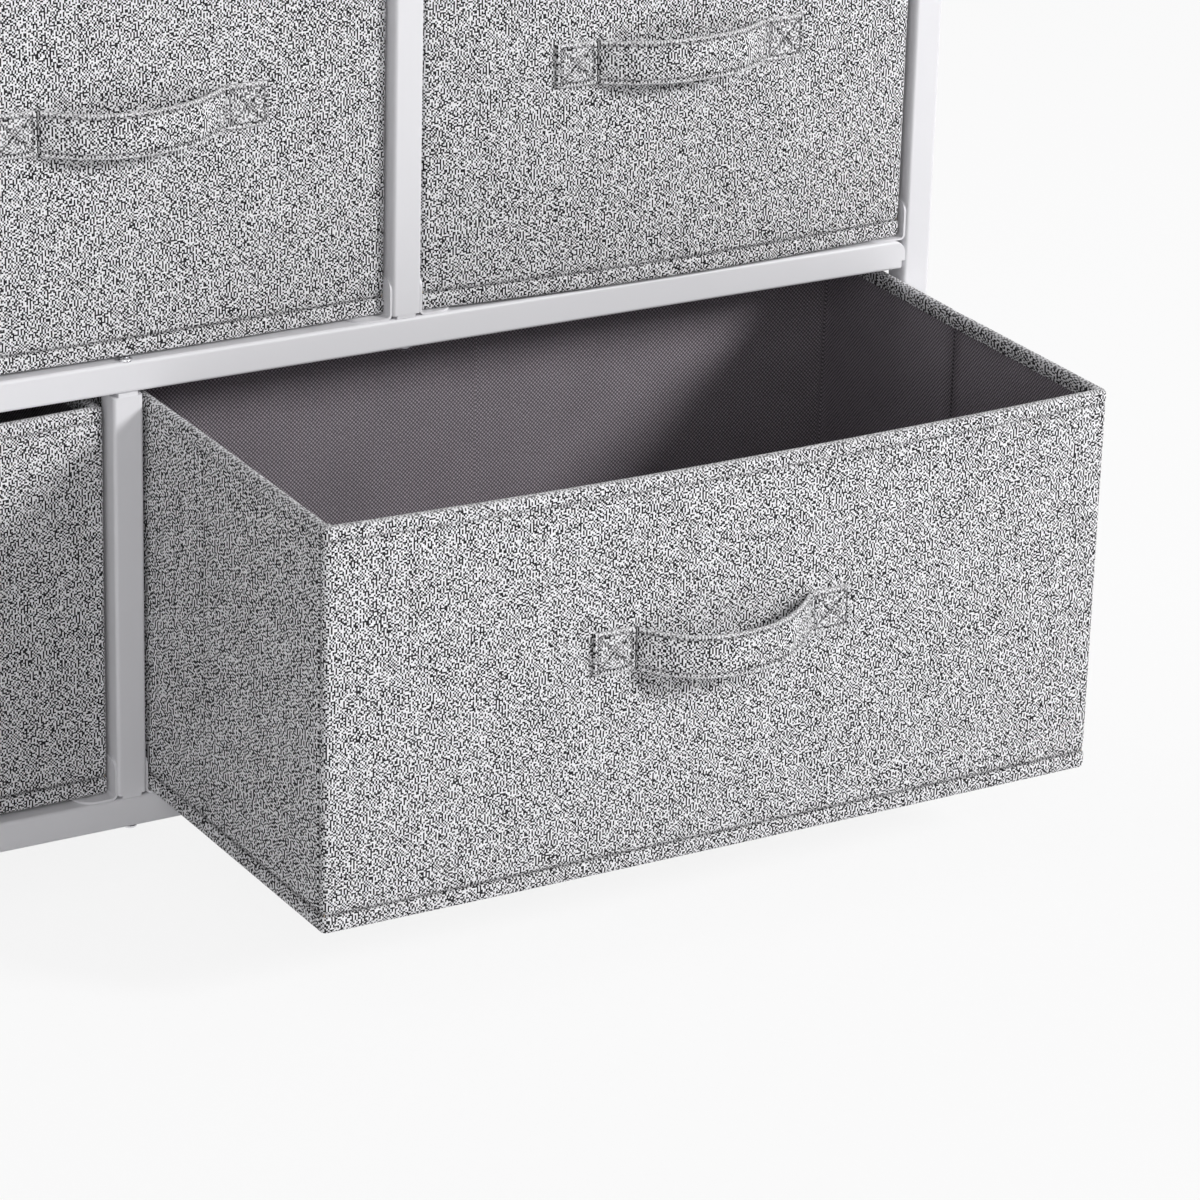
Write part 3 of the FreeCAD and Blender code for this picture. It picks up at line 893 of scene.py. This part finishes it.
def liningProfile(tall):
    floorTop = coverBuild["sheet"]
    top = tall - coverBuild["sheet"] - liningShape["underRim"]
    profile = floorSteps(floorTop, liningShape["underside"][0][0])
    profile += profileSteps(liningShape["underside"], 0.0, floorTop)
    count = round((top - floorTop) / clothSizes["cell"])
    return profile + plainWall(floorTop + liningShape["plainFrom"], top, count)


def makeCover(drawer):
    drawer["stops"] = wallStops(drawer["size"].x, drawer["size"].y, coverBuild["radius"])
    cover = wrapSheet(drawer["name"] + "_cloth_cover", drawer, drawer["stops"],
                      coverProfile(drawer["size"].z), coverBuild)
    finishPiece(cover, drawer, "grey_fabric", drawer["name"] + "_cover")


def makeLining(drawer):
    inset = coverBuild["sheet"] + clothSizes["board"]
    stops = wallStops(drawer["size"].x - 2 * inset, drawer["size"].y - 2 * inset,
                      liningBuild["radius"])
    lining = wrapSheet(drawer["name"] + "_cloth_lining", drawer, stops,
                       liningProfile(drawer["size"].z), liningBuild)
    finishPiece(lining, drawer, "charcoal_lining", drawer["name"] + "_lining")


boardSizes = {
    "play": 0.0001,             # between a wall board and the cover
    "slimmer": 0.0002,          # than its place between cover and lining
    "rimPlay": 0.0005,
    "cell": 0.02,
    "baseCell": 0.03,
    "baseEdge": 0.0008,         # rounding of the base board's edges
    "baseRumple": 0.0003,
    "rumpleAcross": 14,         # scale of the noise
    "perDrawer": 7,
}


def addSlab(bm, low, high):
    for vert in bmesh.ops.create_cube(bm, size=1.0)["verts"]:
        vert.co = Vector([low[k] + (vert.co[k] + 0.5) * (high[k] - low[k]) for k in range(3)])


def cutIntoCells(bm, low, high, cell):
    for axis in range(3):
        count = round((high[axis] - low[axis]) / cell)
        across = Vector([float(k == axis) for k in range(3)])
        for i in range(1, count):
            bmesh.ops.bisect_plane(bm, geom=bm.verts[:] + bm.edges[:] + bm.faces[:],
                                   plane_co=Vector(low).lerp(Vector(high), i / count), plane_no=across)


def makeBoards(drawer):
    bm = bmesh.new()
    skin, gap = coverBuild["sheet"] + boardSizes["play"], clothSizes["foldGap"]
    thick = clothSizes["board"] - boardSizes["slimmer"]
    low = drawer["low"] + Vector((skin, skin, skin))
    high = drawer["high"] - Vector((skin, skin, skin + boardSizes["rimPlay"]))
    fold = drawer["middle"].y
    for y in (low.y, high.y - thick):
        addSlab(bm, (low.x, y, low.z), (high.x, y + thick, high.z))
    for x in (low.x, high.x - thick):
        for start, end in ((low.y + thick, fold - gap / 2), (fold + gap / 2, high.y - thick)):
            addSlab(bm, (x, start, low.z), (x + thick, end, high.z))
    cutIntoCells(bm, low, high, boardSizes["cell"])
    for vert in bm.verts:
        vert.co = givePoint(drawer, vert.co)
    boards = meshObject(drawer["name"] + "_stiff_boards", bm, "wall_board", smooth=False)
    finishPiece(boards, drawer, "wall_board", drawer["name"] + "_wall_boards")


def makeBaseBoard(drawer):
    low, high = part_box(drawer["name"] + "_base_board")
    bm = bmesh.new()
    uv = bm.loops.layers.uv.new("cloth")
    addSlab(bm, low, high)
    bmesh.ops.bevel(bm, geom=bm.edges[:], affect="EDGES", offset=boardSizes["baseEdge"], segments=2,
                    profile=0.5, material=-1)
    cutIntoCells(bm, low, high, boardSizes["baseCell"])
    across, perDrawer = boardSizes["rumpleAcross"], boardSizes["perDrawer"]
    for vert in bm.verts:
        wave = noise.noise(Vector((vert.co.x * across, vert.co.y * across,
                                   drawer["middle"].x * perDrawer)))
        vert.co.z += boardSizes["baseRumple"] + boardSizes["baseRumple"] * wave
    for face in bm.faces:
        for loop in face.loops:
            loop[uv].uv = loop.vert.co.xy
    board = meshObject(drawer["name"] + "_lined_board", bm, "charcoal_lining")
    finishPiece(board, drawer, "lined_board", drawer["name"] + "_base_board")


# strap handles

strapSizes = {
    "patch": 0.025,             # sewn flat at each end
    "thick": 0.0024,
    "seamIn": 0.0026,           # stitch lines from the edges
    "lineStop": 0.001,          # the long lines end that far before a patch
    "lift": 0.002,              # above the middle of the plain strap
    "dent": 0.0006,
    "dentWidth": 0.0008,
    "cell": 0.0006,             # mesh size over the stitches
    "flatEdge": 0.001,          # that mesh stops this far from the ends and edges
    "bowSteps": 30,             # mesh steps along half of the bow, and across the back
    "backSteps": 12,
    "foldRows": (-0.0008, 0.0003),      # extra rows at the fold, from where the patch begins
    "edgeRound": ((0.42, 0.0004), (0.2, 0.0)),  # share of the thickness, and from the edge
    "endRound": 0.0004,         # last row before a cut end, and how thick the strap is there
    "endSlim": 0.75,
    "endZone": 0.0005,          # the cut end's edge, darkened with painted shadow
}

strapMarksAndPaintedLight = {                  # how dark the stitch lines look, with painted shade in their dents, creases and cut ends; below 0 how much paler: painted highlight along the turned edges, and paler patches
    "edge": 0.5,
    "box": 0.85,
    "fold": (0.85, 0.4),        # painted shade in the crease where the strap leaves its left and right patch, the left darker as it faces away from the lamp
    "foldFrom": 0.2,            # fainter creases leave no mark
    # painted shadow at the cut ends
    "end": 0.35,
    "patch": -0.14,
    "turned": -0.33,            # painted highlight along the turned edges, which are this wide
    "turnedWidth": 0.0013,
}

strapLie = {                    # how far each hangs out, how square, how low and how far aside
    "upper_left": {"bow": 0.014, "curve": 2.3, "droop": 0.003, "aside": 0.001},
    "upper_middle": {"bow": 0.013, "curve": 2.4, "droop": 0.0035, "aside": 0.004},
    "upper_right": {"bow": 0.015, "curve": 2.3, "droop": 0.0005, "aside": 0.0026},
    "lower_left": {"bow": 0.016, "curve": 2.3, "droop": 0.004, "aside": -0.001},
    "lower_right": {"bow": 0.0195, "curve": 2.7, "droop": 0.0055, "aside": -0.0045},
}


def strapPoint(drawer, along, out, up):
    # along the strap from its middle, outwards from its core and up from its middle line
    strap, lie = drawer["strap"], strapLie[drawer["name"]]
    span = strap["half"] - strapSizes["patch"]
    reach = min(1.0, abs(along) / span)
    curve = lie["curve"]
    bow = lie["bow"] * (1 - reach ** curve)
    slope = 0.0
    if 0 < reach < 1:
        slope = -math.copysign(lie["bow"] * curve * reach ** (curve - 1) / span, along)
    length = math.hypot(1, slope)
    droop = lie["droop"] * (1 - reach ** 2)
    place = strap["middle"].x + lie["aside"] + along - slope / length * out
    point = givePoint(drawer, Vector((place, drawer["low"].y, strap["middle"].z + up - droop)))
    point.y -= bow + out / length + strapSizes["thick"] / 2
    return point


def seamLines(half, tall):
    # the stitched lines of the right half of a strap: a line along each edge, a box and its cross
    inside, patch = strapSizes["seamIn"], strapSizes["patch"]
    near, far, edge = half - patch + inside, half - inside, tall / 2 - inside
    lineEnd = near - inside - strapSizes["lineStop"]
    lines = [((0, end), (lineEnd, end)) for end in (-edge, edge)]
    corners = [(near, -edge), (far, -edge), (far, edge), (near, edge)]
    lines += [(corners[k], corners[(k + 1) % 4]) for k in range(4)]
    lines += [(corners[0], corners[2]), (corners[1], corners[3])]
    return [(Vector(start), Vector(end)) for start, end in lines]


def seamDistance(lines, spot):
    nearest = 1.0
    for start, end in lines:
        run = end - start
        share = max(0.0, min(1.0, (spot - start).dot(run) / run.length_squared))
        nearest = min(nearest, (spot - start - run * share).length)
    return nearest


def strapRows(half, span):
    # places of the mesh rows along a strap, from end to end
    sewnLength, steps = strapSizes["patch"] - strapSizes["flatEdge"], strapSizes["bowSteps"]
    sewn = round(sewnLength / strapSizes["cell"])
    right = [span * i / steps for i in range(1, steps + 1)]
    right += [span + row for row in strapSizes["foldRows"]]
    right += [span + sewnLength * i / sewn for i in range(1, sewn + 1)]
    right = sorted(right) + [half - strapSizes["endRound"], half]
    return [-place for place in reversed(right)] + [0.0] + right


def strapRing(tall):
    # a strap's section as a closed ring of out and up: front, upper edge, back and lower edge
    thick, flat = strapSizes["thick"], tall / 2 - strapSizes["flatEdge"]
    rows, backSteps = round(2 * flat / strapSizes["cell"]), strapSizes["backSteps"]
    front = [(thick / 2, -flat + 2 * flat * i / rows) for i in range(rows + 1)]
    edge = [(share * thick, tall / 2 - fromEdge) for share, fromEdge in strapSizes["edgeRound"]]
    edge += [(-out, up) for out, up in reversed(edge)]
    back = [(-thick / 2, flat - 2 * flat * i / backSteps) for i in range(backSteps + 1)]
    ring = front + edge + back + [(-out, -up) for out, up in edge]
    return ring + ring[:1]


def makeHandle(drawer):
    low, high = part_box(drawer["name"] + "_handle")
    half, tall = (high.x - low.x) / 2, high.z - low.z
    middle = (low + high) / 2 + Vector((0, 0, strapSizes["lift"]))
    drawer["strap"] = {"half": half, "middle": middle, "lines": seamLines(half, tall)}
    span = half - strapSizes["patch"]
    along, ring = strapRows(half, span), strapRing(tall)

    def place(i, j):
        (out, up), fromMiddle = ring[j], abs(along[i])
        end = half - fromMiddle
        atEnd = end < strapSizes["endZone"]
        slim = 0.0 if end < 1e-6 else strapSizes["endSlim"] if atEnd else 1.0
        gap = seamDistance(drawer["strap"]["lines"], Vector((fromMiddle, up)))
        press = math.exp(-(gap / strapSizes["dentWidth"]) ** 2) if out > 0 else 0.0
        crease = math.exp(-((fromMiddle - span) / strapSizes["dentWidth"]) ** 2)
        onPatch = fromMiddle > span - strapSizes["lineStop"]
        # painted shade on the stitch lines, creases and cut ends, painted highlight on the turned edges,
        # and paler patches
        mark = strapMarksAndPaintedLight["box"] * press ** 2 if onPatch else strapMarksAndPaintedLight["edge"] * press
        pale = strapMarksAndPaintedLight["patch"] if onPatch else 0.0
        if tall / 2 - abs(up) < strapMarksAndPaintedLight["turnedWidth"]:
            pale = strapMarksAndPaintedLight["turned"]
        mark += (1 - press) * pale
        if crease > strapMarksAndPaintedLight["foldFrom"]:
            mark = max(mark, crease * strapMarksAndPaintedLight["fold"][along[i] > 0])
        if atEnd:
            mark = strapMarksAndPaintedLight["end"]
        sunk = strapSizes["dent"] * (max(press, crease) if out > 0 else 0.0)
        return strapPoint(drawer, along[i], out * slim - sunk, up), mark

    around, woven = [0.0], [0.0]        # lengths of cloth round the section and along the strap
    for before, after in zip(ring, ring[1:]):
        around.append(around[-1] + math.dist(before, after))
    for before, after in zip(along, along[1:]):
        run = strapPoint(drawer, after, 0, 0) - strapPoint(drawer, before, 0, 0)
        woven.append(woven[-1] + run.length)
    bm = bmesh.new()
    addSheet(bm, len(along) - 1, len(ring) - 1, place, lambda i, j, lowest: (woven[i], around[j]))
    bmesh.ops.remove_doubles(bm, verts=bm.verts, dist=clothSizes["weld"])
    bmesh.ops.recalc_face_normals(bm, faces=bm.faces)
    handle = meshObject(drawer["name"] + "_strap_handle", bm, "grey_fabric")
    finishPiece(handle, drawer, "grey_fabric", drawer["name"] + "_handle")


# stitches

threadSizes = {
    "pitch": 0.0031,
    "stitch": 0.0023,
    "thick": 0.00048,
    "hem": (-0.0004, 0.0),      # where a seam's thread lies: out from the wall, up from the seam
    "hemInside": (0.0001, 0.0),
    "welt": (-0.0008, 0.0009),
    "strap": 0.0001,            # above the bottom of the strap's dents
}


def addSeam(bm, place, length):
    # a row of stitches, where place gives the point at a length along the seam
    count = max(1, round(length / threadSizes["pitch"]))
    for i in range(count):
        middle = (i + 0.5) * length / count
        first = place(middle - threadSizes["stitch"] / 2)
        last = place(middle + threadSizes["stitch"] / 2)
        axis = last - first
        turn = axis.to_track_quat("X", "Z").to_matrix().to_4x4()
        size = Matrix.Diagonal((axis.length, threadSizes["thick"], threadSizes["thick"], 1))
        bmesh.ops.create_icosphere(bm, subdivisions=1, radius=0.5,
                                   matrix=Matrix.Translation((first + last) / 2) @ turn @ size)


def makeStitches(drawer):
    bm = bmesh.new()
    tall, girth = drawer["size"].z, drawer["stops"][-1]["length"]
    for name, wall, height in (("hem", 0.0, tall - clothSizes["hemSeam"]),
                               ("hemInside", -rimWidth, tall - clothSizes["hemTurn"]),
                               ("welt", 0.0, clothSizes["weltHeight"])):
        out, up = threadSizes[name]
        addSeam(bm, lambda t: wallPoint(drawer, t, wall + out, height + up), girth)
    out = strapSizes["thick"] / 2 - strapSizes["dent"] + threadSizes["strap"]
    for start, end in drawer["strap"]["lines"]:
        run = end - start
        for side in (-1, 1):
            addSeam(bm, lambda t: strapPoint(drawer, side * (start + run.normalized() * t).x, out,
                                             (start + run.normalized() * t).y), run.length)
    stitches = meshObject(drawer["name"] + "_stitches", bm, "thread")
    finishPiece(stitches, drawer, "grey_fabric")


for drawer in [readDrawer(name) for name in drawerGive]:
    makeCover(drawer)
    makeLining(drawer)
    makeBoards(drawer)
    makeBaseBoard(drawer)
    makeHandle(drawer)
    makeStitches(drawer)
    print(drawer["name"], "drawer made")
